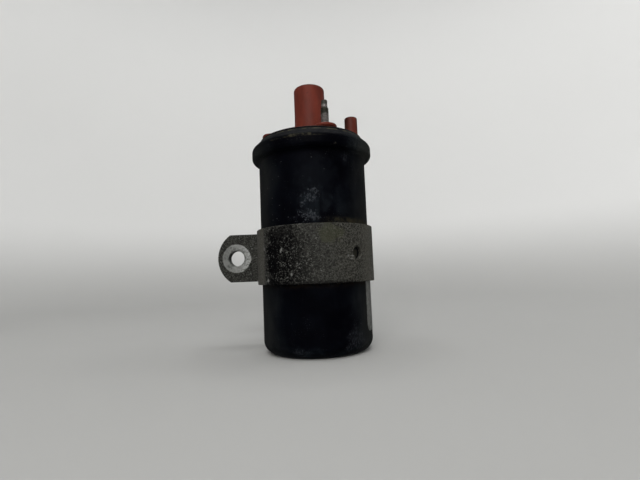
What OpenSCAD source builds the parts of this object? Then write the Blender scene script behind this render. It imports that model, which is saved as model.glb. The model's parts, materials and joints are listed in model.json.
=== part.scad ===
// Oil-filled canister ignition coil with its clamp band.
// Upright: the can stands on Z = 0 and its axis is Z, with the tower on top.

/* [Can] */
// Diameter of the can
can_d = 56; // [54:0.5:58]
// Thickness of the can's sheet
can_wall = 0.8; // [0.6:0.1:1]
// Radius of the can's bottom corner
corner_r = 6.2; // [4:0.1:7]
// Height of the underside of the crimped bead
bead_z = 98.2; // [96:0.2:110]
// Height of the crimped bead
bead_h = 7.6; // [7:0.1:9]
// Diameter of the crimped bead
bead_d = 63; // [62:0.5:65]
// Diameter of the opening inside the crimped lip
lip_d = 52.8; // [51:0.2:54]
// Height of the lip above the bead
lip_rise = 3.3; // [2.8:0.1:4]

/* [Cap] */
// Height of the cap's flat top above the lip
cap_proud = 0.6; // [0.3:0.1:1.5]
// Thickness of the cap's top plate
plate_t = 4.7; // [4:0.1:5.5]
// Diameter of the high-voltage tower where its sides are straight
tower_d = 16.5; // [15:0.1:18]
// Height of the tower above the cap's top
tower_h = 29.7; // [25:0.1:36]
// Length of the tower's straight upper part, above its draft
tower_straight = 16; // [14:0.5:20]
// Diameter of the high-voltage socket
socket_d = 8.5; // [7.5:0.1:9]
// Depth of the high-voltage socket
socket_depth = 23.4; // [18:0.1:24]

/* [Terminals] */
// Distance of the terminal studs from the axis
stud_ring_r = 19.6; // [19:0.1:20]
// Direction of the front stud
front_angle = -67; // [-75:1:-60]
// Direction of the rear stud
rear_angle = 108; // [100:1:120]
// Thread diameter of the front stud
front_stud_d = 4; // [4:0.5:5]
// Thread diameter of the rear stud
rear_stud_d = 5; // [4:0.5:5]
// Height of the terminal pads above the cap's top
pad_h = 3.4; // [3.2:0.1:4]
// Length of thread above a pad
thread_len = 8.3; // [6:0.1:12]

/* [Clamp band] */
// Thickness of the band's steel
band_t = 2; // [1.5:0.1:2.5]
// Width of the band along the can
band_w = 27.8; // [20:0.1:32]
// Height of the band's lower edge
band_z = 34.6; // [30:0.1:45]
// Free space between the two ears
ear_gap = 3; // [2:0.1:3.8]
// Distance of the ears' ends from the can's axis
ear_reach = 57.5; // [54:0.5:64]
// How far the ears stand above the middle of the band
ear_rise = 1.35; // [0:0.05:2]
// Diameter of the bolt holes in the ears
ear_hole_d = 9; // [8.4:0.1:10]

/* [Hidden] */
$fn = 64;
tiny = 0.01;
far = 80;

// Can and rim
can_r = can_d / 2;
bead_r = bead_d / 2;
lip_r = lip_d / 2;
bead_low_r = 2.2;
bead_high_r = 2.7;
bead_top = bead_z + bead_h;
lip_z = bead_top + lip_rise;
bead_high_x = bead_r - bead_high_r;
bead_high_z = bead_top - bead_high_r;
lip_from_bead = [lip_r - bead_high_x, lip_z - bead_high_z];
shoulder_dir = atan2(lip_from_bead[1], lip_from_bead[0]) - acos(bead_high_r / norm(lip_from_bead));

// Cap
fit_gap = 0.1;
cap_seat = 2;
cap_bottom = bead_z + cap_seat;
cap_top = lip_z + cap_proud;
plate_z = cap_top - plate_t;
plate_r = lip_r - 0.2;
recess_r = 24;
neck_r = 11.5;
neck_bore_r = 8.5;
neck_drop = 2.2;
neck_z = cap_bottom - neck_drop;
tower_r = tower_d / 2;
tower_top = cap_top + tower_h;
tower_edge = 1.5;
tower_draft = 0.35;
web_h = 2.6;
socket_r = socket_d / 2;
socket_z = tower_top - socket_depth;
mouth_chamfer = 1;
pad_r = 5.8;
pad_top_r = 3;
pad_neck_r = 4.9;
pad_gap = 0.9;
pad_rim_h = 1.3;
post_xy = [21.9, -2];
post_r = 3.4;
post_h = 12;
post_edge = 0.5;
plug_xy = [-21.7, -1];
plug_boss_r = 4.4;
plug_boss_h = 2.4;
plug_head_r = 4.2;
plug_head_h = 2.7;
plug_head_edge = 0.8;
plug_stem_r = 2.6;
plug_stem_drop = 0.8;
plug_stem_z = plate_z - plug_stem_drop;

// High-voltage insert
insert_r = 3.2;
insert_collar_r = 5.2;
insert_collar_h = 6;
insert_cup_r = 2.6;
insert_cup_depth = 4.5;
insert_z = plate_z - 1;

// Terminals
pad_z = cap_top + pad_h;
pilot_ratio = 0.76;
pilot_len = 3.9;
pilot_edge = 0.4;
stud_edge = 0.5;
seal_t = 0.6;
seal_r = 4.2;
tag_t = 0.6;
tag_r = 3.8;
tag_w = 2.2;
tag_tail = 8;
tag_turn = 110;
nut_t = 2.4;
front_nut_flats = 6;
rear_nut_flats = 7;
stud_tip = 0.6;
shank_extra = 0.3;

// Clamp band
band_in_r = can_r + 0.2;
band_out_r = band_in_r + band_t;
bend_r = 3;
front_ear_y = band_in_r - ear_gap - band_t;
bend_y = front_ear_y - bend_r;
bend_x = -sqrt(pow(band_out_r + bend_r, 2) - bend_y * bend_y);
bend_dir = atan2(bend_y, bend_x);
ear_end_r = 17;
ear_level_x = -34;
ear_hole_x = -ear_reach + 11;
side_hole_r = 2.75;
side_hole_dir = -47.6;
band_mid_z = band_z + band_w / 2;

// Label
label_t = 0.1;
label_z = 10.2;
label_h = 40;
label_from = -29.7;
label_span = 105;

// Winding stack
pad_disc_t = 1.2;
base_z = can_wall + pad_disc_t;
base_r = 20.5;
stack_z = 10;
base_step = 2;
stack_top = 92.4;
core_r = 6.4;
core_gap = 0.2;
core_lift = 3;
core_z = base_z + core_lift;
core_top = 96;
lamination_t = 0.75;
lamination_gap = 0.05;
bobbin_r = [7, 8.2];
secondary_r = 16.4;
insulation_r = [16.6, 17.9];
primary_r = [17.9, 21.4];
wrap_r = [21.5, 22.6];
inner_shield_r = [22.9, 23.9];
outer_shield_r = [24.3, 25.3];
shield_z = 6.2;
shield_top = 95;
shield_slit = 5;
slit_dir = 40;
primary_z = 15;
primary_top = 86;
secondary_z = 12;
secondary_top = 90;
secondary_layers = 5;
layer_step = 2.5;
support_t = 3.4;
support_r = 22.6;
lead_r = 0.6;
lead_sides = 12;
lead_rise = 1.6;
lead_bend_z = 98.4;
lead_hole_r = 1.3;
primary_lead_r = 19.6;
secondary_lead_r = 15.4;
lead_inset = 1;
lead_spacing = 2;
secondary_lead_turn = 12;

// Spring
spring_turns = 5;
spring_mean_r = 2.7;
spring_wire_r = 0.4;
spring_z = core_top + 1.2;
spring_sides = 8;
spring_steps = 60;

phenolic = [0.45, 0.17, 0.13];
steel_black = [0.05, 0.055, 0.07];
band_grey = [0.2, 0.2, 0.18];
brass = [0.72, 0.56, 0.28];
tarnished = [0.33, 0.31, 0.24];
copper = [0.72, 0.4, 0.22];
paper = [0.76, 0.66, 0.46];
rubber = [0.07, 0.07, 0.07];

// The point at distance r from the axis in direction a.
function polar(r, a, z = 0) = [r * cos(a), r * sin(a), z];

// The outline of the can and its crimped rim, moved inwards by inset.
module can_outline(inset) {
    edge = polar(1, shoulder_dir);
    start = [bead_high_x, bead_high_z] + (bead_high_r - inset) * [edge[0], edge[1]];
    end = [lip_r, lip_z] - inset * [edge[0], edge[1]];
    translate([0, inset]) square([can_r - corner_r, bead_z]);
    translate([0, corner_r]) square([can_r - inset, bead_z + bead_low_r - corner_r]);
    translate([can_r - corner_r, corner_r]) circle(corner_r - inset);
    translate([0, bead_z + inset]) square([bead_r - bead_low_r, bead_low_r]);
    translate([bead_r - bead_low_r, bead_z + bead_low_r]) circle(bead_low_r - inset);
    translate([0, bead_z + bead_low_r])
        square([bead_r - inset, bead_h - bead_low_r - bead_high_r]);
    translate([bead_high_x, bead_high_z]) circle(bead_high_r - inset);
    polygon([[0, bead_high_z - tiny], [bead_high_x, bead_high_z - tiny], start, end, [0, end[1]]]);
}

// A round tube standing on z, from radii[0] to radii[1].
module tube(radii, z, height) {
    translate([0, 0, z]) difference() {
        cylinder(r = radii[1], h = height);
        translate([0, 0, -1]) cylinder(r = radii[0], h = height + 2);
    }
}

// A round post whose top edge is chamfered.
module edged_post(r, h, edge) {
    cylinder(r = r, h = h - edge);
    translate([0, 0, h - edge]) cylinder(r1 = r, r2 = r - edge, h = edge);
}

// A closed skin through rings of points that all have as many points.
module skin(rings) {
    sides = len(rings[0]);
    last = sides * (len(rings) - 1);
    polyhedron(
        points = [for (ring = rings) each ring],
        faces = concat(
            [[for (j = [0 : sides - 1]) j]],
            [for (i = [0 : len(rings) - 2], j = [0 : sides - 1])
                let (a = i * sides, b = a + sides, k = (j + 1) % sides)
                each [[a + j, b + j, b + k], [a + j, b + k, a + k]]],
            [[for (j = [sides - 1 : -1 : 0]) last + j]]));
}

module can() {
    color(steel_black) rotate_extrude() intersection() {
        difference() {
            can_outline(0);
            can_outline(can_wall);
            translate([-1, bead_z + bead_low_r]) square([lip_r + 1, far]);
        }
        square([far, lip_z + 1]);
    }
}

// The web that ties a terminal pad to the tower.
module pad_web() {
    tower_side = 6.5;
    pad_side = 4.6;
    web_from = 4;
    linear_extrude(web_h)
        polygon([[web_from, -tower_side], [stud_ring_r, -pad_side],
                 [stud_ring_r, pad_side], [web_from, tower_side]]);
}

module terminal_pad(angle) {
    rotate([0, 0, angle]) translate([0, 0, cap_top - tiny]) {
        pad_web();
        translate([stud_ring_r, 0, 0]) {
            cylinder(r = pad_neck_r, h = pad_gap + 1);
            translate([0, 0, pad_gap]) cylinder(r = pad_r, h = pad_rim_h);
            translate([0, 0, pad_gap + pad_rim_h])
                cylinder(r1 = pad_r, r2 = pad_top_r, h = pad_h + tiny - pad_gap - pad_rim_h);
        }
    }
}

module cap_body() {
    rotate_extrude() {
        difference() {
            intersection() {
                can_outline(can_wall + fit_gap);
                translate([0, cap_bottom]) square([far, far]);
            }
            translate([-1, cap_bottom - 1]) square([recess_r + 1, plate_z - cap_bottom + 1]);
        }
        translate([0, plate_z]) square([plate_r, plate_t]);
        translate([neck_bore_r, neck_z]) square([neck_r - neck_bore_r, plate_z - neck_z + 1]);
        square_top = tower_top - tower_edge;
        base_r = tower_r + tower_draft;
        polygon([[0, cap_top - 1], [base_r, cap_top - 1], [base_r, cap_top],
                 [tower_r, tower_top - tower_straight], [tower_r, square_top], [0, square_top]]);
        translate([0, square_top]) square([tower_r - tower_edge, tower_edge]);
        translate([tower_r - tower_edge, square_top]) circle(tower_edge);
    }
}

module insulator_cap() {
    color(phenolic) difference() {
        union() {
            cap_body();
            terminal_pad(front_angle);
            terminal_pad(rear_angle);
            translate([post_xy[0], post_xy[1], cap_top - 1]) edged_post(post_r, post_h + 1, post_edge);
            translate([plug_xy[0], plug_xy[1], cap_top - 1]) cylinder(r = plug_boss_r, h = plug_boss_h + 1);
        }
        translate([0, 0, socket_z]) cylinder(r = socket_r, h = far);
        translate([0, 0, tower_top - mouth_chamfer])
            cylinder(r1 = socket_r, r2 = socket_r + 1.5 * mouth_chamfer, h = 1.5 * mouth_chamfer);
        translate([0, 0, socket_z - insert_collar_h]) cylinder(r = insert_collar_r, h = insert_collar_h);
        translate([0, 0, insert_z]) cylinder(r = insert_r, h = socket_z - insert_z);
        for (s = [[front_stud_d, front_angle], [rear_stud_d, rear_angle]])
            translate(polar(stud_ring_r, s[1], neck_z)) cylinder(r = s[0] / 2 + shank_extra, h = far);
        translate([plug_xy[0], plug_xy[1], neck_z]) cylinder(r = plug_stem_r, h = far);
    }
}

module cap_gasket() {
    gasket_z = bead_z + can_wall;
    color(rubber) tube([can_r - can_wall + 0.6, bead_r - bead_low_r], gasket_z, cap_bottom - gasket_z);
}

module relief_plug() {
    head_z = cap_top + plug_boss_h;
    color(phenolic * 0.8) translate([plug_xy[0], plug_xy[1], 0]) {
        translate([0, 0, plug_stem_z]) cylinder(r = plug_stem_r, h = head_z - plug_stem_z + 1);
        translate([0, 0, head_z]) edged_post(plug_head_r, plug_head_h, plug_head_edge);
    }
}

module ht_insert() {
    collar_z = socket_z - insert_collar_h;
    color(brass) difference() {
        union() {
            translate([0, 0, insert_z]) cylinder(r = insert_r, h = collar_z - insert_z + 1);
            translate([0, 0, collar_z]) cylinder(r = insert_collar_r, h = insert_collar_h);
        }
        translate([0, 0, socket_z - insert_cup_depth]) cylinder(r = insert_cup_r, h = far);
    }
}

// One ring of points of the spring's wire, at step i.
function spring_ring(i) = let (
    turn = 360 * spring_turns * i / spring_steps,
    z = spring_z + spring_wire_r + (insert_z - spring_z - 2 * spring_wire_r) * i / spring_steps)
    [for (j = [0 : spring_sides - 1]) let (a = 360 * j / spring_sides)
        polar(spring_mean_r + spring_wire_r * cos(a), turn, z + spring_wire_r * sin(a))];

module ht_spring() {
    color(tarnished) skin([for (i = [0 : spring_steps]) spring_ring(i)]);
}

// A terminal stud: threaded ends, a thicker shank held in the cap, and a plain pilot on top.
module stud(d, angle) {
    bottom = plate_z - seal_t - tag_t - nut_t - stud_tip;
    thread_top = pad_z + thread_len;
    pilot_r = pilot_ratio * d / 2;
    color(tarnished) translate(polar(stud_ring_r, angle)) {
        translate([0, 0, bottom]) edged_post(d / 2, thread_top - bottom, stud_edge);
        translate([0, 0, plate_z]) cylinder(r = d / 2 + shank_extra, h = pad_z - plate_z);
        translate([0, 0, thread_top - tiny]) edged_post(pilot_r, pilot_len, pilot_edge);
    }
}

module stud_seal(d, angle) {
    color(paper) translate(polar(stud_ring_r, angle))
        tube([d / 2, seal_r], plate_z - seal_t, seal_t);
}

// A ring tag with a tail that a lead is soldered to.
module solder_tag(d, angle) {
    color(brass) translate(polar(stud_ring_r, angle, plate_z - seal_t - tag_t))
        rotate([0, 0, angle + tag_turn]) difference() {
            union() {
                cylinder(r = tag_r, h = tag_t);
                translate([0, -tag_w / 2, 0]) cube([tag_tail, tag_w, tag_t]);
            }
            translate([0, 0, -1]) cylinder(r = d / 2, h = tag_t + 2);
        }
}

module stud_nut(d, angle, flats) {
    color(brass) translate(polar(stud_ring_r, angle, plate_z - seal_t - tag_t - nut_t)) difference() {
        cylinder(r = flats / sqrt(3), h = nut_t, $fn = 6);
        translate([0, 0, -1]) cylinder(r = d / 2, h = nut_t + 2);
    }
}

module front_stud() stud(front_stud_d, front_angle);
module rear_stud() stud(rear_stud_d, rear_angle);
module front_stud_seal() stud_seal(front_stud_d, front_angle);
module rear_stud_seal() stud_seal(rear_stud_d, rear_angle);
module front_solder_tag() solder_tag(front_stud_d, front_angle);
module rear_solder_tag() solder_tag(rear_stud_d, rear_angle);
module front_stud_nut() stud_nut(front_stud_d, front_angle, front_nut_flats);
module rear_stud_nut() stud_nut(rear_stud_d, rear_angle, rear_nut_flats);

// A wedge that reaches from one direction to another, under half a turn.
module wedge(from, to) {
    polygon([[0, 0], far * [cos(from), sin(from)],
             2 * far * [cos((from + to) / 2), sin((from + to) / 2)], far * [cos(to), sin(to)]]);
}

// The band's section across the can, without its ears.
module band_section() {
    difference() {
        circle(band_out_r, $fn = 128);
        circle(band_in_r, $fn = 128);
        wedge(90, bend_dir);
    }
    translate([bend_x, bend_y]) intersection() {
        difference() {
            circle(bend_r + band_t);
            circle(bend_r);
        }
        wedge(bend_dir - 180, 90);
    }
    translate([bend_x - 1, front_ear_y]) square([1 + tiny, band_t]);
    translate([bend_x - 1, band_in_r]) square([1 - bend_x, band_t]);
}

// An ear: a flat strip with a round end and a bolt hole, its face towards -Y.
module ear(y) {
    half = band_w / 2;
    root_x = bend_x - 1 + tiny;
    end_x = -ear_reach + ear_end_r;
    translate([0, y + band_t, band_mid_z]) rotate([90, 0, 0]) linear_extrude(band_t) difference() {
        intersection() {
            polygon([[root_x, -half], [root_x, half], [ear_level_x, half + ear_rise],
                     [-far, half + ear_rise], [-far, ear_rise - half], [ear_level_x, ear_rise - half]]);
            union() {
                translate([end_x, ear_rise]) circle(ear_end_r);
                translate([end_x, -far]) square([far, 2 * far]);
            }
        }
        translate([ear_hole_x, ear_rise]) circle(ear_hole_d / 2);
    }
}

module clamp_band() {
    color(band_grey) difference() {
        union() {
            translate([0, 0, band_z]) linear_extrude(band_w) band_section();
            ear(front_ear_y);
            ear(band_in_r);
        }
        translate([0, 0, band_mid_z]) rotate([0, 90, side_hole_dir])
            cylinder(r = side_hole_r, h = far);
    }
}

module foil_label() {
    color("silver") intersection() {
        tube([can_r, can_r + label_t], label_z, label_h);
        translate([0, 0, label_z - 1]) linear_extrude(label_h + 2)
            wedge(label_from, label_from + label_span);
    }
}

module base_pad() {
    color(paper * 0.9) translate([0, 0, can_wall]) cylinder(r = base_r, h = pad_disc_t);
}

module base_insulator() {
    color("ivory") difference() {
        translate([0, 0, base_z]) union() {
            cylinder(r = base_r, h = stack_z - base_z - base_step);
            cylinder(r = primary_r[1], h = stack_z - base_z);
        }
        translate([0, 0, core_z]) cylinder(r = core_r + core_gap, h = far);
    }
}

module core_laminations() {
    count = floor(core_r / (lamination_t + lamination_gap));
    color("dimgray") for (i = [-count + 1 : count - 1]) {
        y = i * (lamination_t + lamination_gap);
        half = sqrt(core_r * core_r - pow(abs(y) + lamination_t / 2, 2));
        translate([-half, y - lamination_t / 2, core_z]) cube([2 * half, lamination_t, core_top - core_z]);
    }
}

module core_contact() {
    color(brass) translate([0, 0, core_top]) cylinder(r = core_r - 1, h = spring_z - core_top);
}

module secondary_bobbin() {
    color(paper) tube(bobbin_r, stack_z, stack_top - stack_z);
}

// Layers of fine wire, each shorter than the one inside it.
module secondary_winding() {
    layer_t = (secondary_r - bobbin_r[1]) / secondary_layers;
    color(copper * 0.8) rotate_extrude() for (i = [0 : secondary_layers - 1])
        translate([bobbin_r[1] + i * layer_t, secondary_z + i * layer_step])
            square([layer_t + (i < secondary_layers - 1 ? tiny : 0),
                    secondary_top - secondary_z - 2 * i * layer_step]);
}

module winding_insulation() {
    color(paper) tube(insulation_r, stack_z, stack_top - stack_z);
}

module primary_winding() {
    color(copper) tube(primary_r, primary_z, primary_top - primary_z);
}

module outer_insulation() {
    color(paper * 0.85) tube(wrap_r, stack_z - base_step, stack_top - stack_z + base_step);
}

// A slit sheet of magnetic iron around the windings.
module shield(radii, dir) {
    color("slategray") difference() {
        tube(radii, shield_z, shield_top - shield_z);
        rotate([0, 0, dir]) translate([0, -shield_slit / 2, 0]) cube([far, shield_slit, 2 * far]);
    }
}

module inner_shield() shield(inner_shield_r, slit_dir);
module outer_shield() shield(outer_shield_r, slit_dir + 180);

// The point under a solder tag's tail where its lead ends.
function tag_end(angle, along) =
    polar(stud_ring_r, angle, plate_z - seal_t - tag_t) + polar(along, angle + tag_turn);

front_tag_far = tag_end(front_angle, tag_tail - lead_inset);
front_tag_near = tag_end(front_angle, tag_tail - lead_inset - lead_spacing);
rear_tag_far = tag_end(rear_angle, tag_tail - lead_inset);
front_lead_dir = atan2(front_tag_far[1], front_tag_far[0]);
rear_lead_dir = atan2(rear_tag_far[1], rear_tag_far[0]);
secondary_lead_dir = front_lead_dir - secondary_lead_turn;

module winding_support() {
    color(paper * 0.9) difference() {
        translate([0, 0, stack_top]) cylinder(r = support_r, h = support_t);
        translate([0, 0, stack_top - 1]) cylinder(r = core_r + core_gap + lamination_gap, h = support_t + 2);
        for (p = [polar(primary_lead_r, front_lead_dir), polar(primary_lead_r, rear_lead_dir),
                  polar(secondary_lead_r, secondary_lead_dir)])
            translate(p + [0, 0, stack_top - 1]) cylinder(r = lead_hole_r, h = support_t + 2);
    }
}

// A lead from the top of a winding up to its solder tag.
module lead(r, dir, from_z, end) {
    path = [polar(r, dir, from_z), polar(r, dir, lead_bend_z), end - [0, 0, lead_rise], end];
    color(copper * 0.9) skin([for (p = path)
        [for (j = [0 : lead_sides - 1]) p + polar(lead_r, 360 * j / lead_sides)]]);
}

module front_primary_lead() lead(primary_lead_r, front_lead_dir, primary_top, front_tag_far);
module rear_primary_lead() lead(primary_lead_r, rear_lead_dir, primary_top, rear_tag_far);
module secondary_lead() {
    lead(secondary_lead_r, secondary_lead_dir, secondary_top - (secondary_layers - 1) * layer_step, front_tag_near);
}

can();
insulator_cap();
cap_gasket();
relief_plug();
ht_insert();
ht_spring();
front_stud();
rear_stud();
front_stud_seal();
rear_stud_seal();
front_solder_tag();
rear_solder_tag();
front_stud_nut();
rear_stud_nut();
clamp_band();
foil_label();
base_pad();
base_insulator();
core_laminations();
core_contact();
secondary_bobbin();
secondary_winding();
winding_insulation();
primary_winding();
outer_insulation();
inner_shield();
outer_shield();
winding_support();
front_primary_lead();
rear_primary_lead();
secondary_lead();
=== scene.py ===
"""Looks of the canister ignition coil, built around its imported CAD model.

Lengths are in mm until they are placed.
"""

import json
import math

import bpy
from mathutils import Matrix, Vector, noise


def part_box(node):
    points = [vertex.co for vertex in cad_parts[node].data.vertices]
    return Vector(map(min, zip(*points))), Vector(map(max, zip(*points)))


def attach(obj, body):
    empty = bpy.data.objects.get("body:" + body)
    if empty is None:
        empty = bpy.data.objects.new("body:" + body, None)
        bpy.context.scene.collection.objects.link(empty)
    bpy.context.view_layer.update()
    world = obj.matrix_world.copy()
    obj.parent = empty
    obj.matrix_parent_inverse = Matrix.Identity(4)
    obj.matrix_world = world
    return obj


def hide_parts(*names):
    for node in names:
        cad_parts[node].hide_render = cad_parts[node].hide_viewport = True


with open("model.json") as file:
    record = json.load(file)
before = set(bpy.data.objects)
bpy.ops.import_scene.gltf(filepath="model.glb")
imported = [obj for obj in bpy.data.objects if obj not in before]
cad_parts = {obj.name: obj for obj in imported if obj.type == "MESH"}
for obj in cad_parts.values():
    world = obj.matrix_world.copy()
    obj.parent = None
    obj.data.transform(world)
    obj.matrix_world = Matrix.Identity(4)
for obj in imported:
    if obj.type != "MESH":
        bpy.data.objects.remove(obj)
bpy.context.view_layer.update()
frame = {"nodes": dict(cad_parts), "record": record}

MM = 0.001

# The view: close in front of the coil, low, and looking slightly up.
CAMERA_AT = (2.79, -210.46, 39.33)
CAMERA_TURN = (94.764, 2.329, 0.194)
LENS = 22.39
SENSOR = 36.0

# Light levels: watts in each lamp, and how bright the room is in the gloss.
WASH = 0.9
RIGHT = 0.7
KEY = 2.5
ROOM = 0.12

# The ring of lamps that light the sweep: how far out and up they are, and what they aim at.
WASH_LAMPS = 8
WASH_RADIUS = 250
WASH_HEIGHT = 850
WASH_AIM_HEIGHT = 420
LAMP_SIZE = 300

# The sweep: how far its flat floor goes, where its wall stands and how high that is.
FLOOR_RADIUS = 420
WALL_RADIUS = 900
WALL_HEIGHT = 900
FLOOR_Z = -0.05


def extents(node):
    """The lowest and highest corners of a CAD node, in mm."""
    low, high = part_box(node)
    return low / MM, high / MM


CAN_HIGH = extents("can")[1]
BAND_LOW, BAND_HIGH = extents("clamp_band")
LABEL_LOW, LABEL_HIGH = extents("foil_label")
PLUG_LOW, PLUG_HIGH = extents("relief_plug")
CAN_RADIUS = 28.0
BEAD_Z = 98.2
BEAD_TOP = 105.8
PLATE_Z = 105
PAD_TOP = 113.1
THREAD_TOP = 121.4
PILOT_RATIO = 0.76
EAR_HOLE = (-46.5, 24.2, 49.85)


# ---------------------------------------------------------------- meshes


def link(name, mesh, body):
    """A new piece that rides on a body."""
    piece = bpy.data.objects.new(name, mesh)
    bpy.context.scene.collection.objects.link(piece)
    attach(piece, body)
    return piece


def mesh_from(name, points, faces, sharp=40):
    """A smooth-shaded mesh from points in mm, sharp where its faces meet at more than the given angle."""
    mesh = bpy.data.meshes.new(name)
    mesh.from_pydata([Vector(p) * MM for p in points], [], faces)
    mesh.shade_smooth()
    mesh.set_sharp_from_angle(angle=math.radians(sharp))
    return mesh


def arc(centre, radius, start, end, steps):
    """Points of an arc in the half-plane of radius and height."""
    turns = [math.radians(start + (end - start) * i / steps) for i in range(steps + 1)]
    return [(centre[0] + radius * math.cos(a), centre[1] + radius * math.sin(a)) for a in turns]


def lathe(name, profile, segments=160, centre=(0, 0), push=None, sharp=40):
    """A closed solid of revolution from a profile that starts and ends on the axis."""
    points, rings = [], []
    for radius, height in profile:
        count = 1 if radius < 1e-6 else segments
        rings.append(list(range(len(points), len(points) + count)))
        for i in range(count):
            turn = 2 * math.pi * i / segments
            point = Vector((radius * math.cos(turn), radius * math.sin(turn), height))
            if push:
                point += push(point)
            points.append(point + Vector((centre[0], centre[1], 0)))
    faces = []
    for low, high in zip(rings, rings[1:]):
        for i in range(segments):
            a, b = low[i % len(low)], low[(i + 1) % len(low)]
            c, d = high[(i + 1) % len(high)], high[i % len(high)]
            face = [k for n, k in enumerate((a, b, c, d)) if k not in (a, b, c, d)[:n]]
            if len(face) > 2:
                faces.append(face)
    return mesh_from(name, points, faces, sharp)


def evaluated(piece):
    """The piece's mesh with its modifiers applied."""
    bpy.context.view_layer.update()
    graph = bpy.context.evaluated_depsgraph_get()
    return bpy.data.meshes.new_from_object(piece.evaluated_get(graph), depsgraph=graph)


def softened(name, node, voxel, passes):
    """The mesh of a CAD node with its edges rounded off, as on a moulding."""
    work = bpy.data.objects.new(name, frame["nodes"][node].data.copy())
    bpy.context.scene.collection.objects.link(work)
    remesh = work.modifiers.new("remesh", "REMESH")
    remesh.mode = "VOXEL"
    remesh.voxel_size = voxel * MM
    smooth = work.modifiers.new("smooth", "SMOOTH")
    smooth.factor = 0.5
    smooth.iterations = passes
    mesh = evaluated(work)
    bpy.data.objects.remove(work)
    mesh.name = name
    mesh.shade_smooth()
    return mesh


def can_mesh():
    """The can with its rounded foot, rolled bead and crimped lip, slightly uneven as a used one is."""
    radius, bead, top = CAN_RADIUS, CAN_HIGH.x, CAN_HIGH.z
    wall, foot, flare = 0.8, 6.2, 1.6
    bead_low, bead_high = 2.2, 2.7
    crease = (27.9, 107.7)
    outer = [(0, 0), (9, 0), (18, 0)]
    outer += arc((radius - foot, foot), foot, -90, 0, 14)
    outer += [(radius, foot + (BEAD_Z - flare - foot) * i / 40) for i in range(1, 40)]
    outer += arc((radius + flare, BEAD_Z - flare), flare, 180, 90, 8)[:-1]
    outer += arc((bead - bead_low, BEAD_Z + bead_low), bead_low, -75, 0, 8)
    outer += arc((bead - bead_high, BEAD_TOP - bead_high), bead_high, 0, 46.5, 8)
    outer += [(29.3, 106.37), (28.3, 107.32), (28.05, 107.5), crease, (27.7, 107.98), (27.3, 108.3)]
    outer += arc((26.9, top - 0.5), 0.5, 55, 180, 6)
    inner = [(26.4, 107.6), (27.6, 106.6), (30.3, 104.0), (30.6, 100.6), (27.4, 99.2), (27.2, 97)]
    inner += arc((radius - foot, foot), foot - wall, 0, -90, 8) + [(0, wall)]

    def dents(point):
        """Small dents near the foot and a faint waviness all over."""
        out = Vector((point.x, point.y, 0))
        if out.length < 20:
            return Vector()
        near_foot = max(0.0, 1 - abs(point.z - 3) / 9)
        size = 0.03 * noise.noise(point * 0.11) + 0.16 * near_foot * min(0, noise.noise(point * 0.16))
        return out.normalized() * min(size, 0)

    return lathe("can_shell", outer + inner, 192, push=dents)


def label_mesh(span=(-29.7, 75.3), corner=3.2, thick=0.09):
    """A blank foil label with round corners, closed, wrapped round the can."""
    radius, columns, rows = CAN_RADIUS, 84, 24
    low, high = LABEL_LOW.z, LABEL_HIGH.z
    width = math.radians(span[1] - span[0]) * radius
    points = []
    for i in range(columns + 1):
        across = width * i / columns
        inset = max(0.0, corner - min(across, width - across))
        cut = corner - math.sqrt(max(0.0, corner**2 - inset**2))
        turn = math.radians(span[0]) + across / radius
        for j in range(rows + 1):
            height = low + cut + (high - low - 2 * cut) * j / rows
            edge = min(across, width - across, height - low - cut, high - cut - height)
            lift = 0.02 * noise.noise(Vector((across, height, 0)) * 0.35) * min(1, edge)
            for r in (radius + thick + min(0, lift), radius):
                points.append((r * math.cos(turn), r * math.sin(turn), height))

    def at(i, j, side):
        return (i * (rows + 1) + j) * 2 + side

    faces = []
    for i in range(columns):
        for j in range(rows):
            faces.append([at(i, j, 0), at(i + 1, j, 0), at(i + 1, j + 1, 0), at(i, j + 1, 0)])
            faces.append([at(i, j + 1, 1), at(i + 1, j + 1, 1), at(i + 1, j, 1), at(i, j, 1)])
        for j, order in ((0, 1), (rows, -1)):
            faces.append([at(i, j, 0), at(i, j, 1), at(i + 1, j, 1), at(i + 1, j, 0)][::order])
    for j in range(rows):
        for i, order in ((0, -1), (columns, 1)):
            faces.append([at(i, j, 0), at(i, j, 1), at(i, j + 1, 1), at(i, j + 1, 0)][::order])
    return mesh_from("label", points, faces, 30)


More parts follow.
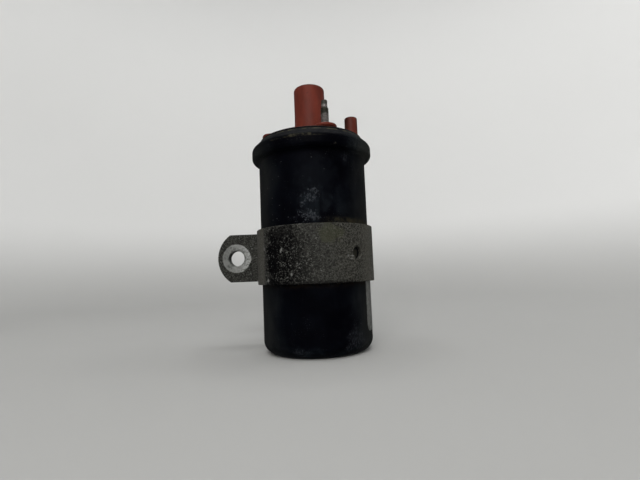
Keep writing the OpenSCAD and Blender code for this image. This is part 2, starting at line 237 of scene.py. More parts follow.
def stud_mesh(name, node, pitch):
    """A terminal stud with a real thread above the cap, a chamfer and a plain pilot."""
    low, high = extents(node)
    centre = (low + high) / 2
    pad, thread_top = PAD_TOP, THREAD_TOP
    major = {"front_stud": 2.0, "rear_stud": 2.5}[node]
    depth, pilot = 0.4 * pitch, major * PILOT_RATIO
    steps, segments = 12, 56
    heights = [low.z, low.z + 0.4, PLATE_Z - 0.01, PLATE_Z, pad - 0.05, pad]
    heights += [pad + pitch * i / steps for i in range(1, round((thread_top - pad) / pitch * steps) + 1)]
    heights += [thread_top + 0.15, thread_top + 0.3, thread_top + 0.6, high.z - 0.45, high.z - 0.15, high.z]

    def radius(height, turn):
        """How far the surface lies from the stud's own axis."""
        if height <= low.z:
            return major - 0.4
        if height < PLATE_Z:
            return major - 0.05
        if height <= pad - 0.05:
            return major + 0.3
        if height > thread_top:
            taper = {0: 0.5, 1: 0.2}.get(heights[::-1].index(height), 0)
            blend = max(0, 1 - (height - thread_top) / 0.4)
            return pilot - taper + blend * (major - depth - pilot) * 0.9
        phase = ((height - pad) / pitch - turn / (2 * math.pi)) % 1
        groove = depth * (1 - min(1, abs(phase - 0.5) * 2.6))
        fade = min(1, (height - pad) / pitch) * min(1, max(0, thread_top - height) / (0.6 * pitch) + 0.3)
        end = max(0, height - thread_top + 0.7) * 0.75
        return min(major - groove * fade, major - end)

    points = [(centre.x, centre.y, heights[0])]
    for height in heights:
        for i in range(segments):
            turn = 2 * math.pi * i / segments
            r = radius(height, turn)
            points.append((centre.x + r * math.cos(turn), centre.y + r * math.sin(turn), height))
    points.append((centre.x, centre.y, heights[-1]))
    faces = []
    for k in range(len(heights) - 1):
        for i in range(segments):
            a, b = 1 + k * segments + i, 1 + k * segments + (i + 1) % segments
            faces.append([a, b, b + segments, a + segments])
    last = 1 + (len(heights) - 1) * segments
    for i in range(segments):
        faces.append([0, 1 + (i + 1) % segments, 1 + i])
        faces.append([len(points) - 1, last + i, last + (i + 1) % segments])
    return mesh_from(name, points, faces, 50)


def plug_mesh():
    """The relief plug: a domed head with a small dimple, on a stem."""
    centre = (PLUG_LOW + PLUG_HIGH) / 2
    head, stem, top, low = 4.2, 2.6, PLUG_HIGH.z, PLUG_LOW.z
    under = top - 2.7
    profile = [(0, low), (stem - 0.3, low), (stem, low + 0.3), (stem, under), (head - 0.25, under)]
    profile += arc((head - 0.3, under + 0.3), 0.3, -60, 0, 3)
    profile += arc((head - 1.3, top - 1.6), 1.3, 0, 66, 8)
    profile += [(2.4, top - 0.14), (1.5, top - 0.03), (1.1, top - 0.05), (0.85, top - 0.4), (0, top - 0.55)]
    return lathe("plug_head", profile, 72, (centre.x, centre.y))


# ---------------------------------------------------------------- materials


class Paint:
    """A node material. Its masks and patterns are in the row frame, in mm."""

    def __init__(self, name):
        self.material = bpy.data.materials.new(name)
        self.material.use_nodes = True
        self.tree = self.material.node_tree
        self.shader = self.tree.nodes["Principled BSDF"]
        where = self.tree.nodes.new("ShaderNodeTexCoord").outputs["Object"]
        self.at = self.vector("SCALE", where, scale=1 / MM)
        split = self.tree.nodes.new("ShaderNodeSeparateXYZ")
        self.tree.links.new(self.at, split.inputs[0])
        self.x, self.y, self.z = split.outputs
        turn = self.math("ARCTAN2", self.x, self.times(self.y, -1.0))
        self.around = self.times(turn, CAN_RADIUS)
        self.radius = self.vector("LENGTH", self.vector("MULTIPLY", self.at, (1, 1, 0)))

    def put(self, socket, value):
        """Sets a socket to a number, colour or another socket."""
        if isinstance(value, bpy.types.NodeSocket):
            self.tree.links.new(value, socket)
        elif isinstance(value, tuple) and len(value) == 3 and socket.type == "RGBA":
            socket.default_value = (*value, 1)
        else:
            socket.default_value = value

    def vector(self, operation, a, b=None, scale=None):
        node = self.tree.nodes.new("ShaderNodeVectorMath")
        node.operation = operation
        self.put(node.inputs[0], a)
        if b is not None:
            self.put(node.inputs[1], b)
        if scale is not None:
            self.put(node.inputs["Scale"], scale)
        return node.outputs["Value" if operation in ("LENGTH", "DISTANCE") else 0]

    def math(self, operation, a, b=0.0, clamp=False):
        node = self.tree.nodes.new("ShaderNodeMath")
        node.operation = operation
        node.use_clamp = clamp
        self.put(node.inputs[0], a)
        self.put(node.inputs[1], b)
        return node.outputs[0]

    def noise(self, size, detail=4.0, rough=0.55, stretch=None, seed=0.0):
        """Noise from 0 to 1 whose blobs are about size mm across."""
        node = self.tree.nodes.new("ShaderNodeTexNoise")
        node.noise_dimensions = "4D"
        place = self.at if stretch is None else self.vector("MULTIPLY", self.at, stretch)
        self.put(node.inputs["Vector"], place)
        self.put(node.inputs["W"], seed)
        self.put(node.inputs["Scale"], 1 / size)
        self.put(node.inputs["Detail"], detail)
        self.put(node.inputs["Roughness"], rough)
        return node.outputs[0]

    def cells(self, size, stretch=None):
        """Distance from the nearest of scattered points that are about size mm apart."""
        node = self.tree.nodes.new("ShaderNodeTexVoronoi")
        place = self.at if stretch is None else self.vector("MULTIPLY", self.at, stretch)
        self.put(node.inputs["Vector"], place)
        self.put(node.inputs["Scale"], 1 / size)
        return node.outputs["Distance"]

    def grains(self, size, stretch=None):
        """A random number from 0 to 1 for each grain, size mm across."""
        node = self.tree.nodes.new("ShaderNodeTexVoronoi")
        place = self.at if stretch is None else self.vector("MULTIPLY", self.at, stretch)
        self.put(node.inputs["Vector"], place)
        self.put(node.inputs["Scale"], 1 / size)
        split = self.tree.nodes.new("ShaderNodeSeparateColor")
        self.tree.links.new(node.outputs["Color"], split.inputs[0])
        return split.outputs[0]

    def ramp(self, value, low, high):
        """0 below low and 1 above high, or the other way round when low is the larger."""
        node = self.tree.nodes.new("ShaderNodeMapRange")
        node.interpolation_type = "SMOOTHSTEP"
        self.put(node.inputs["Value"], value)
        rising = low < high
        self.put(node.inputs["From Min"], low if rising else high)
        self.put(node.inputs["From Max"], high if rising else low)
        self.put(node.inputs["To Min"], 0.0 if rising else 1.0)
        self.put(node.inputs["To Max"], 1.0 if rising else 0.0)
        return node.outputs[0]

    def times(self, *values):
        product = values[0]
        for value in values[1:]:
            product = self.math("MULTIPLY", product, value)
        return product

    def colour(self, share, a, b):
        """Colour a where share is 0 and b where it is 1."""
        node = self.tree.nodes.new("ShaderNodeMix")
        node.data_type = "RGBA"
        self.put(node.inputs[0], share)
        self.put(node.inputs[6], a)
        self.put(node.inputs[7], b)
        return node.outputs[2]

    def number(self, share, a, b):
        node = self.tree.nodes.new("ShaderNodeMix")
        self.put(node.inputs[0], share)
        self.put(node.inputs[2], a)
        self.put(node.inputs[3], b)
        return node.outputs[0]

    def patch(self, around, height, width, tall, ragged=0.4, size=3.0, seed=0.0, lean=0.0):
        """A ragged-edged patch on the can's wall, 1 inside it and 0 outside."""
        up = self.math("SUBTRACT", self.z, height)
        side = self.math("SUBTRACT", self.math("SUBTRACT", self.around, around), self.times(up, lean))
        reach = self.math("ADD", self.square(side, width), self.square(up, tall))
        reach = self.math("ADD", self.math("SQRT", reach), self.wobble(2 * ragged, size, seed))
        return self.ramp(reach, 1.15, 0.6)

    def square(self, value, scale):
        scaled = self.times(value, 1 / scale)
        return self.times(scaled, scaled)

    def wobble(self, amount, size, seed=0.0):
        """Noise about 0, amount from end to end."""
        return self.times(self.math("SUBTRACT", self.noise(size, 4, 0.6, seed=seed), 0.5), 2 * amount)

    def any_of(self, *masks):
        """The largest of several masks."""
        most = masks[0]
        for mask in masks[1:]:
            most = self.math("MAXIMUM", most, mask)
        return most

    def finish(self, colour, rough, bump=None, depth=0.1, metal=0.0, **constants):
        self.put(self.shader.inputs["Base Color"], colour)
        self.put(self.shader.inputs["Roughness"], rough)
        self.put(self.shader.inputs["Metallic"], metal)
        for name, value in constants.items():
            self.put(self.shader.inputs[name.replace("_", " ")], value)
        if bump is not None:
            node = self.tree.nodes.new("ShaderNodeBump")
            node.inputs["Distance"].default_value = depth * MM
            node.inputs["Strength"].default_value = 1.0
            self.put(node.inputs["Height"], bump)
            self.tree.links.new(node.outputs[0], self.shader.inputs["Normal"])
        return self.material


def can_paint():
    """Blue-black satin enamel, scuffed, speckled, and dusty at its edges, with a painted reflection
    lightening its sides and a painted sheen high on its front.
    """
    p = Paint("can_enamel")
    tone = p.noise(16, 4)
    shoulder = p.ramp(p.z, 103.5, 105.5)
    paint = p.colour(p.ramp(tone, 0.35, 0.7), (0.0004, 0.0005, 0.0020), (0.0012, 0.0018, 0.0040))
    shoulder = p.times(shoulder, p.ramp(p.noise(3, 5, 0.7, seed=15), 0.35, 0.65))
    paint = p.colour(shoulder, paint, (0.0090, 0.0095, 0.0105))

    # A thin grey film: streaks down the sides, more at the foot and on the bead. Towards the sides it is
    # partly a painted reflection, and a broad patch high in the middle is a painted sheen.
    streaks = p.noise(2.2, 5, 0.65, (1, 1, 0.22))
    cloud = p.noise(8, 5, 0.65, seed=2)
    # Towards the sides as seen from the front: partly dust, partly a painted reflection of bright
    # surroundings at grazing angles.
    sides = p.ramp(p.math("ABSOLUTE", p.math("ADD", p.around, p.wobble(10, 14))), 13, 33)
    film_and_reflection = p.times(sides, p.ramp(streaks, 0.18, 0.80), p.number(p.ramp(p.z, 45, 15), 0.8, 1.3))
    # The first patch, broad and high in the middle of the front, is a painted sheen; the other two are dusty
    # haze.
    haze_and_sheen = p.any_of(
        p.times(p.patch(2, 84, 10, 9, 0.5, 8), 0.16),
        p.times(p.patch(19, 70, 11, 9, 0.8, 5), p.ramp(cloud, 0.3, 0.7), 0.3),
        p.times(p.patch(1, 73, 8, 10, 0.7, 5), p.ramp(streaks, 0.25, 0.7), 0.5),
    )
    foot = p.times(p.ramp(p.z, 11, 1.5), p.ramp(cloud, 0.46, 0.68), 0.6)
    # Dust on the bead, with painted light: heavier towards the sides and brighter towards the right.
    bead = p.times(p.ramp(p.z, 96, 99), sides, p.ramp(p.noise(1.3, 5, 0.8), 0.40, 0.58))
    bead = p.times(bead, p.number(p.ramp(p.x, -20, 20), 0.5, 2.4))
    patchy = p.times(p.ramp(cloud, 0.45, 0.75), p.number(p.ramp(p.around, 4, 12), 0.05, 0.22))
    behind_hole = p.times(p.patch(20.7, 48.2, 2.4, 2.2, 0.3, 2), 1.6)
    film_and_reflection = p.any_of(film_and_reflection, haze_and_sheen, foot, bead, patchy)
    colour = p.colour(film_and_reflection, paint, p.colour(sides, (0.013, 0.018, 0.022), (0.022, 0.023, 0.021)))
    colour = p.colour(behind_hole, colour, (0.034, 0.033, 0.026))

    # Whitish scuffs above the band and at the foot, worn into wisps and dots.
    grain = p.noise(0.75, 5, 0.8, (1, 1, 0.5))
    hatch = p.noise(0.8, 4, 0.75, (1, 1, 0.3), seed=3)
    dots = p.grains(0.55)
    upper = p.times(p.patch(-1.0, 75.0, 3.8, 4.0, 0.9, 1.8, 3, 0.5), p.ramp(grain, 0.44, 0.68), 1.0)
    lower = p.times(p.patch(-3.4, 66.8, 6.0, 3.2, 1.0, 2.2, 5), p.ramp(dots, 0.70, 1.0), 0.75)
    streak = p.times(p.patch(-0.8, 66.6, 4.6, 2.4, 0.9, 1.8, 8, -0.8), p.ramp(grain, 0.44, 0.66), 1.0)
    rubs = p.any_of(p.patch(20, 8, 6.5, 6, 0.7, 3, 7), p.patch(-8.5, 3.5, 4.5, 2.2, 0.5, 2))
    rubs = p.times(rubs, p.ramp(grain, 0.45, 0.70), 0.5)
    ring = p.times(p.patch(17.6, 94.6, 2.3, 2.6, 0.4, 1.5), p.ramp(hatch, 0.45, 0.68), 0.35)
    scuffs = p.any_of(upper, lower, streak, rubs, ring)
    colour = p.colour(p.times(scuffs, 0.8), colour, (0.076, 0.082, 0.094))

    # Grime held along the clamp's edges, khaki above it and rusty below.
    above = p.ramp(p.z, BAND_HIGH.z + 2.4, BAND_HIGH.z)
    above = p.times(above, p.ramp(p.z, BAND_HIGH.z - 5, BAND_HIGH.z - 1))
    above = p.times(above, p.ramp(p.math("ADD", p.around, p.wobble(8, 6)), 1, 10))
    below = p.times(p.ramp(p.z, BAND_LOW.z - 3.2, BAND_LOW.z), p.ramp(p.z, BAND_LOW.z + 5, BAND_LOW.z + 1))
    grime = p.times(p.any_of(above, p.times(below, 0.8)), p.ramp(p.noise(2.5, 5, 0.7), 0.36, 0.60))
    dirt = p.colour(p.ramp(p.z, 45, 50), (0.012, 0.008, 0.005), (0.026, 0.023, 0.014))
    colour = p.colour(grime, colour, dirt)

    # Specks of old dirt, thickest on the left of the front, and wear on the bead.
    specks = p.times(p.ramp(p.cells(1.5), 0.18, 0.09), p.ramp(p.noise(3, 2, seed=12), 0.46, 0.60))
    thick = p.any_of(p.patch(-20, 76, 9, 15, 0.5, 5), p.times(p.ramp(p.noise(12, 3, seed=4), 0.54, 0.7), 0.6))
    fine = p.times(p.ramp(p.noise(0.5, 2, 0.7), 0.62, 0.72), p.ramp(p.noise(9, 3, seed=7), 0.48, 0.66), 0.5)
    specks = p.any_of(p.times(specks, thick), fine)
    colour = p.colour(p.times(specks, 0.85), colour, (0.13, 0.13, 0.125))
    edge = p.times(p.ramp(p.radius, 30.8, 31.45), p.ramp(p.noise(2.5, 5, 0.7, seed=9), 0.60, 0.72))
    colour = p.colour(p.times(edge, 0.5), colour, (0.05, 0.046, 0.036))
    crimp = p.ramp(p.math("ABSOLUTE", p.math("SUBTRACT", p.radius, 27.95)), 0.3, 0.08)
    crimp = p.times(crimp, p.ramp(p.z, 107, 107.3))
    lip = p.times(p.ramp(p.radius, 27.3, 26.9), p.ramp(p.z, 108, 108.5), 0.7)
    worn = p.times(p.any_of(crimp, lip), p.ramp(p.noise(2.5, 4, 0.7, seed=11), 0.42, 0.56))
    colour = p.colour(p.times(worn, 0.9), colour, (0.085, 0.078, 0.048))


    # Khaki wear on the front of the bead, and a painted highlight line along the bead.
    marks_and_highlight = p.ramp(p.math("ABSOLUTE", p.math("SUBTRACT", p.z, 103.7)), 1.0, 0.5)
    marks_and_highlight = p.times(marks_and_highlight, p.ramp(p.around, -10.0, -8), p.ramp(p.around, 1.5, 0))
    # A painted highlight: a thin light line along the bead.
    highlight_line = p.ramp(p.math("ABSOLUTE", p.math("SUBTRACT", p.z, 103.3)), 0.4, 0.15)
    highlight_line = p.times(highlight_line, p.ramp(p.around, -19, -17), p.ramp(p.around, 8, 2), 0.6)
    marks_and_highlight = p.times(p.any_of(marks_and_highlight, highlight_line), p.ramp(p.noise(1.7, 5, 0.75, seed=13), 0.42, 0.66))
    colour = p.colour(p.times(marks_and_highlight, 0.75), colour, (0.060, 0.055, 0.034))

    rough = p.number(p.ramp(tone, 0.3, 0.7), 0.46, 0.58)
    rough = p.number(p.any_of(film_and_reflection, scuffs, specks, grime), rough, 0.9)
    bump = p.math("ADD", p.times(p.noise(0.7, 3, 0.6), 0.2), p.times(p.noise(4, 2), 0.6))
    bump = p.math("ADD", bump, p.times(p.any_of(scuffs, specks, grime), 0.4))
    return p.finish(colour, rough, bump, 0.07, Specular_IOR_Level=p.number(sides, 0.035, 0.10))


def band_metal():
    """Zinc-plated strip gone dull, with a tarry patch, a bright ring where a washer sat, a painted glint on
    that ring and painted shade at its hole's left edge.
    """
    p = Paint("band_zinc")
    on_strap = p.ramp(p.radius, 33.5, 31.5)
    grain, coarse = p.grains(0.5), p.noise(0.9, 4, 0.75)
    cloud = p.noise(6, 4, seed=2)
    streaks = p.noise(1.8, 4, 0.6, (1, 1, 0.12))
    salt = p.math("ADD", p.times(grain, 0.55), p.times(p.ramp(coarse, 0.3, 0.7), 0.45))
    dark = p.colour(p.ramp(cloud, 0.3, 0.7), (0.013, 0.013, 0.011), (0.024, 0.024, 0.020))
    zinc = p.colour(p.ramp(salt, 0.20, 0.80), dark, (0.066, 0.065, 0.057))
    zinc = p.colour(p.ramp(salt, 0.78, 0.92), zinc, (0.170, 0.170, 0.160))
    zinc = p.colour(p.times(p.ramp(streaks, 0.45, 0.7), 0.25), zinc, (0.046, 0.045, 0.039))

    # The right of the front is paler and more even, and the fold at the left is smooth.
    even = p.times(p.ramp(p.math("ADD", p.around, p.wobble(8, 6)), 4, 18), on_strap, 0.6)
    fold = p.times(p.ramp(p.around, -25.5, -27.5), on_strap, 0.65)
    soft = p.colour(p.ramp(salt, 0.2, 0.85), (0.018, 0.017, 0.013), (0.112, 0.108, 0.090))
    colour = p.colour(even, zinc, soft)
    far_right = p.times(p.ramp(p.around, 20, 30), on_strap, 0.5)
    colour = p.colour(p.any_of(fold, p.times(far_right, 1.3)), colour, (0.100, 0.095, 0.079))
    khaki = p.times(p.patch(7.5, 57.5, 6.0, 5.0, 0.5, 3), on_strap)
    colour = p.colour(p.times(khaki, 0.55), colour, (0.060, 0.062, 0.034))

    # Tar: solid at the left, broken up into blots further right, and along the lower edge.
    blots = p.ramp(p.noise(1.3, 5, 0.75, seed=6), 0.26, 0.42)
    top_left = p.times(p.patch(-16, 58, 7.5, 5, 0.9, 2.5, 2), 0.85)
    solid = p.any_of(p.patch(-19.5, 46, 4.5, 15, 0.8, 3.5, 1), top_left)
    broken = p.times(p.patch(-12, 44, 17, 18, 0.5, 4, 4), p.ramp(salt, 0.84, 0.50), p.ramp(p.around, 9, -13))
    hem = p.times(p.ramp(p.z, BAND_LOW.z + 2.2, BAND_LOW.z + 0.3), p.ramp(p.around, 26, 14))
    solid = p.times(solid, p.ramp(salt, 0.96, 0.74))
    tar = p.times(p.any_of(p.times(solid, blots), broken, p.times(hem, blots, 0.7)), on_strap)
    tar = p.times(tar, p.ramp(p.around, -26.5, -24.5))
    colour = p.colour(p.times(tar, 0.97), colour, (0.0012, 0.0012, 0.0018))

    # Chips through the tar, and scratches beside the small hole.
    chips = p.any_of(
        p.patch(-15.1, 50.7, 0.5, 1.3, 0.3, 0.8, 1, 0.35),
        p.patch(-23.6, 36.7, 0.8, 0.8, 0.4, 0.8, 2),
        p.patch(-26.5, 52.0, 0.5, 0.9, 0.4, 0.8, 3),
        p.patch(-10.2, 39.2, 0.6, 0.8, 0.5, 0.8, 4),
        p.patch(17.6, 46.9, 1.7, 0.28, 0.6, 0.7, 6, 1.5),
        p.patch(17.0, 45.6, 1.2, 0.22, 0.6, 0.7, 7, 1.2),
        p.patch(15.2, 46.9, 0.35, 0.7, 0.5, 0.8, 8),
    )
    chips = p.times(chips, on_strap)
    colour = p.colour(p.times(chips, 0.85), colour, (0.22, 0.22, 0.21))

    # The bolt washer's print round the ear's hole, with a painted glint on its right and painted shade at the
    # hole's left edge.
    away = p.vector("MULTIPLY", p.vector("SUBTRACT", p.at, EAR_HOLE), (1, 0, 1))
    reach = p.math("ADD", p.vector("LENGTH", away), p.wobble(0.8, 2.2))
    on_ear = p.ramp(p.x, -34, -36)
    ring = p.times(p.ramp(reach, 8.6, 7.9), on_ear)
    rim = p.times(ring, p.ramp(reach, 6.9, 8.2))
    worn = p.noise(1.3, 5, 0.7, seed=9)
    bare = p.colour(p.ramp(worn, 0.34, 0.66), (0.085, 0.088, 0.082), (0.27, 0.275, 0.26))
    bare = p.colour(p.times(p.ramp(p.noise(4, 3, seed=4), 0.42, 0.62), 0.6), bare, (0.33, 0.335, 0.32))
    colour = p.colour(p.times(ring, p.ramp(p.noise(1.4, 4, 0.7, seed=4), 0.20, 0.38)), colour, bare)
    colour = p.colour(p.times(rim, 0.35), colour, (0.36, 0.36, 0.345))
    # Painted glint: bright grains on the right of the ring.
    glint = p.times(ring, p.ramp(p.x, -47, -40), p.ramp(p.grains(0.8), 0.25, 0.8), p.ramp(reach, 4.8, 6.2))
    colour = p.colour(p.times(glint, 0.85), colour, (0.46, 0.47, 0.46))
    dull = p.times(ring, p.ramp(p.x, -49.5, -52.5), p.ramp(worn, 0.25, 0.6))
    colour = p.colour(p.times(dull, 0.4), colour, (0.085, 0.088, 0.082))
    # Painted shade: a dark crescent at the left edge of the hole, where the bore is in shadow.
    lip = p.times(on_ear, p.ramp(reach, 5.2, 4.7), p.ramp(p.x, -46, -49))
    colour = p.colour(p.times(lip, 0.5), colour, (0.035, 0.036, 0.033))

    rough = p.number(p.ramp(salt, 0.3, 0.7), 0.8, 0.6)
    rough = p.number(ring, rough, 0.5)
    bump = p.math("ADD", p.times(salt, 0.7), p.times(tar, 0.6))
    bump = p.math("SUBTRACT", bump, p.times(ring, 0.8))
    metal = p.number(p.any_of(tar, ring), 0.3, 0.0)
    return p.finish(colour, rough, bump, 0.12, metal, Specular_IOR_Level=p.number(tar, 0.3, 0.03))


def phenolic(name="cap_phenolic", shade=1.0):
    """Red-brown moulded phenolic, faintly streaked, with dark blots of dirt, darker at the tower's top and on
    the post, and with painted shade low down by the plate.
    """
    p = Paint(name)
    flow = p.noise(5, 4, 0.6, (1, 1, 0.35))
    dark = tuple(shade * c for c in (0.112, 0.0175, 0.0085))
    light = tuple(shade * c for c in (0.170, 0.0275, 0.0145))
    red = p.colour(p.ramp(flow, 0.3, 0.7), dark, light)
    specks = p.ramp(p.noise(0.5, 2, 0.6), 0.62, 0.72)
    red = p.colour(p.times(specks, 0.25), red, (0.20, 0.050, 0.034))
    # Painted shade: darker low down, under the pad and where the pad and tower meet the plate.
    low = p.times(p.ramp(p.z, 111.3, 109.5), p.ramp(p.noise(3, 4), 0.3, 0.6), 0.75)
    rims = p.times(p.ramp(p.z, 137.6, 139.2), p.ramp(p.noise(2, 3), 0.35, 0.6), 0.6)
    blots = p.times(p.ramp(p.noise(2.4, 5, 0.7, seed=3), 0.58, 0.72), 0.45)
    on_post = p.ramp(p.x, 17.5, 18.4)
    post = p.times(on_post, p.any_of(p.ramp(p.x, 21.6, 19.2), p.ramp(p.z, 120.6, 121.5), 0.3), 0.75)
    colour = p.colour(p.any_of(low, rims, blots, post), red, (0.026, 0.011, 0.007))
    dust = p.times(p.ramp(p.noise(3, 6, 0.75, seed=6), 0.54, 0.74), 0.08)
    colour = p.colour(dust, colour, (0.20, 0.11, 0.08))
    rough = p.number(p.ramp(flow, 0.3, 0.7), 0.48, 0.62)
    bump = p.math("ADD", p.times(p.noise(0.6, 3), 0.4), p.times(flow, 0.3))
    return p.finish(colour, rough, bump, 0.05, Specular_IOR_Level=0.2)


def stud_plating():
    """Zinc, bright where the nut sat, olive-dark above, and bright again at the pilot's foot."""
    p = Paint("stud_plating")
    patches = p.noise(0.8, 5, 0.7)
    bright = p.colour(p.ramp(patches, 0.35, 0.65), (0.15, 0.138, 0.128), (0.36, 0.34, 0.33))
    tarnish = p.colour(p.ramp(patches, 0.35, 0.7), (0.012, 0.011, 0.007), (0.058, 0.056, 0.036))
    height = p.math("ADD", p.z, p.wobble(1.0, 1.5))
    pilot_foot = p.times(p.ramp(height, 121.2, 121.7), p.ramp(height, 123.2, 122.6))
    kept = p.any_of(p.ramp(height, 118.6, 117.6), pilot_foot)
    colour = p.colour(p.times(kept, 0.9), tarnish, bright)
    rust = p.times(p.ramp(p.z, 123.6, 124.6), 0.7)
    colour = p.colour(rust, colour, (0.022, 0.013, 0.008))
    return p.finish(colour, p.number(patches, 0.66, 0.48), patches, 0.03, p.number(kept, 0.1, 0.65))


def tarnished_metal(name, dark, light, metal=0.75, rough=(0.42, 0.62), size=0.8, depth=0.04):
    """Plated or bare metal with patchy tarnish."""
    p = Paint(name)
    patches = p.noise(size, 5, 0.7)
    large = p.noise(size * 6, 3, seed=5)
    colour = p.colour(p.ramp(patches, 0.35, 0.65), dark, light)
    colour = p.colour(p.times(p.ramp(large, 0.45, 0.7), 0.5), colour, tuple(0.45 * c for c in dark))
    return p.finish(colour, p.number(patches, rough[1], rough[0]), patches, depth, metal)


def foil():
    """Blank label foil, dulled and scratched."""
    p = Paint("label_foil")
    tone = p.noise(2.2, 5, 0.65)
    colour = p.colour(p.ramp(tone, 0.35, 0.7), (0.120, 0.121, 0.112), (0.235, 0.236, 0.224))
    scratches = p.ramp(p.noise(0.5, 3, 0.6, (1, 1, 0.08)), 0.58, 0.68)
    colour = p.colour(p.times(scratches, 0.5), colour, (0.26, 0.26, 0.25))
    low = p.times(p.ramp(p.z, 16, 10), p.ramp(p.noise(3, 4), 0.35, 0.6))
    colour = p.colour(p.times(low, 0.5), colour, (0.05, 0.048, 0.04))
    rough = p.number(tone, 0.7, 0.5)
    return p.finish(colour, rough, tone, 0.02, 0.4, Specular_IOR_Level=0.4)


def layered(name, dark, light, pitch, rough=0.6, metal=0.0, depth=0.2):
    """A surface made of turns or layers, pitch mm apart up the axis."""
    p = Paint(name)
    turns = p.math("SINE", p.times(p.z, 2 * math.pi / pitch))
    shade = p.math("ADD", p.times(turns, 0.3), p.noise(3, 4))
    colour = p.colour(p.ramp(shade, 0.2, 0.9), dark, light)
    return p.finish(colour, rough, turns, depth, metal)


def mottled(name, dark, light, size, rough, depth=0.05, metal=0.0):
    """A plain material with soft mottling."""
    p = Paint(name)
    tone = p.noise(size, 5, 0.6)
    return p.finish(p.colour(p.ramp(tone, 0.3, 0.7), dark, light), rough, tone, depth, metal)


def dress(piece, material):
    piece.data.materials.clear()
    piece.data.materials.append(material)


# ---------------------------------------------------------------- pieces


def stand_in(name, mesh, body, node, material):
    """A detailed piece that stands for a CAD node."""
    piece = link(name, mesh, body)
    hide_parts(node)
    dress(piece, material)
    return piece


def make_pieces():
    plated = stud_plating()
    stand_in("can_shell", can_mesh(), "coil", "can", can_paint())
    stand_in("cap_moulding", softened("cap_moulding", "insulator_cap", 0.32, 3), "coil",
             "insulator_cap", phenolic())
    stand_in("band_strip", softened("band_strip", "clamp_band", 0.35, 3), "clamp",
             "clamp_band", band_metal())
    stand_in("front_terminal", stud_mesh("front_terminal", "front_stud", 0.7), "coil",
             "front_stud", plated)
    stand_in("rear_terminal", stud_mesh("rear_terminal", "rear_stud", 0.8), "coil",
             "rear_stud", plated)
    stand_in("plug_head", plug_mesh(), "coil", "relief_plug",
             phenolic("plug_phenolic", 0.7))
    stand_in("label_sheet", label_mesh(), "coil", "foil_label", foil())


def dress_inner_parts():
    """Materials for the CAD nodes that are shown as they are."""
    brass = tarnished_metal("contact_brass", (0.30, 0.19, 0.06), (0.62, 0.44, 0.18), 1.0, (0.25, 0.45))
    copper = layered("copper_wire", (0.25, 0.08, 0.03), (0.62, 0.27, 0.12), 1.0, 0.35, 0.8)
    board = mottled("pressboard", (0.30, 0.21, 0.11), (0.52, 0.39, 0.23), 1.5, 0.8)
    paper = layered("oiled_paper", (0.42, 0.31, 0.15), (0.62, 0.49, 0.28), 6.0, 0.55, 0.0, 0.05)
    iron = mottled("silicon_steel", (0.16, 0.17, 0.18), (0.36, 0.37, 0.38), 4.0, 0.45, 0.02, 0.9)
    looks = {
        "cap_gasket": mottled("gasket_rubber", (0.02, 0.02, 0.02), (0.05, 0.05, 0.05), 2.0, 0.75),
        "ht_spring": mottled("spring_wire", (0.25, 0.25, 0.25), (0.5, 0.5, 0.5), 0.8, 0.3, 0.02, 1.0),
        "base_insulator": mottled("porcelain", (0.74, 0.70, 0.62), (0.86, 0.83, 0.76), 5.0, 0.18, 0.02),
        "core_laminations": iron,
        "inner_shield": iron,
        "outer_shield": iron,
    }
    by_slot = {"contact_brass": brass, "winding_copper": copper, "board": board, "winding_paper": paper}
    slots = {s["node"]: s["material_slot"] for s in frame["record"]["subparts"]}
    for node, piece in frame["nodes"].items():
        material = looks.get(node) or by_slot.get(slots[node])
        if material and not piece.hide_render:
            dress(piece, material)


# ---------------------------------------------------------------- studio


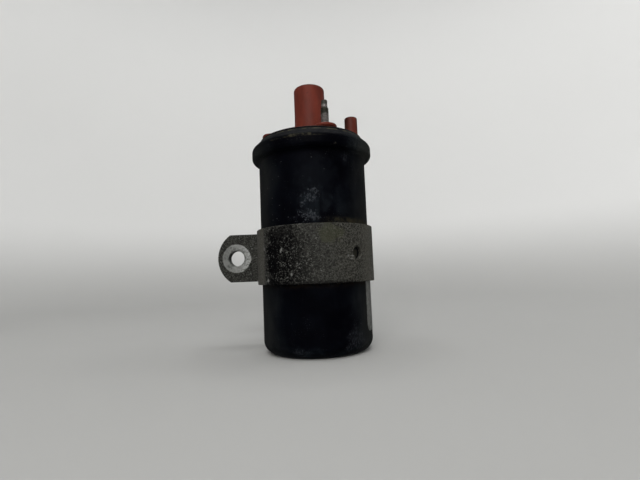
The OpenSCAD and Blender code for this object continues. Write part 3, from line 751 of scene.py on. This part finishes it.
def studio():
    """A pale round sweep that the coil stands in. It lights the coil but isn't mirrored in it. Its paper
    carries painted shading, darker on the floor and lighter up the wall.
    """
    curve = WALL_RADIUS - FLOOR_RADIUS
    profile = [(0, FLOOR_Z), (FLOOR_RADIUS, FLOOR_Z)]
    profile += arc((FLOOR_RADIUS, curve), curve - FLOOR_Z, -90, 0, 24)[1:] + [(WALL_RADIUS, WALL_HEIGHT)]
    points, faces, segments = [], [], 96
    for radius, z in profile:
        for i in range(segments):
            turn = 2 * math.pi * i / segments
            points.append((radius * math.cos(turn), radius * math.sin(turn), z))
    for k in range(len(profile) - 1):
        for i in range(segments):
            a, b = k * segments + i, k * segments + (i + 1) % segments
            faces.append([a, b, b + segments, a + segments])
    sweep = bpy.data.objects.new("sweep", mesh_from("sweep", points, faces))
    bpy.context.scene.collection.objects.link(sweep)
    sweep.visible_glossy = False
    p = Paint("sweep_paper")
    # Painted shading: the paper is darker on the floor and grows lighter up the wall.
    rise = p.math("ADD", p.ramp(p.z, -20, 170), p.wobble(0.02, 90))
    paper = p.colour(rise, (0.46, 0.46, 0.45), (0.80, 0.80, 0.79))
    dress(sweep, p.finish(paper, 0.95, Specular_IOR_Level=0.0))


def area_light(name, at, aim, size, power, tint=(1, 1, 1)):
    """A round soft light at one point, aimed at another, both in mm."""
    data = bpy.data.lights.new(name, "AREA")
    data.shape = "DISK"
    data.size = size * MM
    data.energy = power
    data.color = tint
    lamp = bpy.data.objects.new(name, data)
    lamp.location = Vector(at) * MM
    lamp.rotation_euler = (Vector(aim) - Vector(at)).to_track_quat("-Z", "Y").to_euler()
    lamp.visible_camera = False
    bpy.context.scene.collection.objects.link(lamp)


def lights():
    """Lamps that light the sweep all round, a broad key light and a dim room for the gloss."""
    world = bpy.data.worlds.new("dim_room")
    world.use_nodes = True
    room = world.node_tree.nodes["Background"].inputs
    room["Color"].default_value = (0.93, 0.96, 1.0, 1)
    room["Strength"].default_value = ROOM
    bpy.context.scene.world = world
    bpy.context.scene.view_settings.view_transform = "Standard"
    for i in range(WASH_LAMPS):
        turn = math.radians(360 / WASH_LAMPS * i)
        out = Vector((math.sin(turn), math.cos(turn), 0))
        at = out * WASH_RADIUS + Vector((0, 0, WASH_HEIGHT))
        aim = out * WALL_RADIUS + Vector((0, 0, WASH_AIM_HEIGHT))
        area_light(f"wall_wash_{i}", at, aim, LAMP_SIZE, WASH)
    area_light("right_wash", (480, 60, 640), (640, 560, 60), LAMP_SIZE, RIGHT)
    area_light("key", (-60, -640, 520), (0, 0, 70), 420, KEY, (1.0, 0.99, 0.97))


def camera():
    data = bpy.data.cameras.new("photo_view")
    data.lens = LENS
    data.sensor_width = SENSOR
    data.clip_start = 0.005
    data.clip_end = 20
    eye = bpy.data.objects.new("photo_view", data)
    eye.location = Vector(CAMERA_AT) * MM
    eye.rotation_euler = [math.radians(a) for a in CAMERA_TURN]
    bpy.context.scene.collection.objects.link(eye)
    bpy.context.scene.camera = eye


camera()
make_pieces()
dress_inner_parts()
studio()
lights()
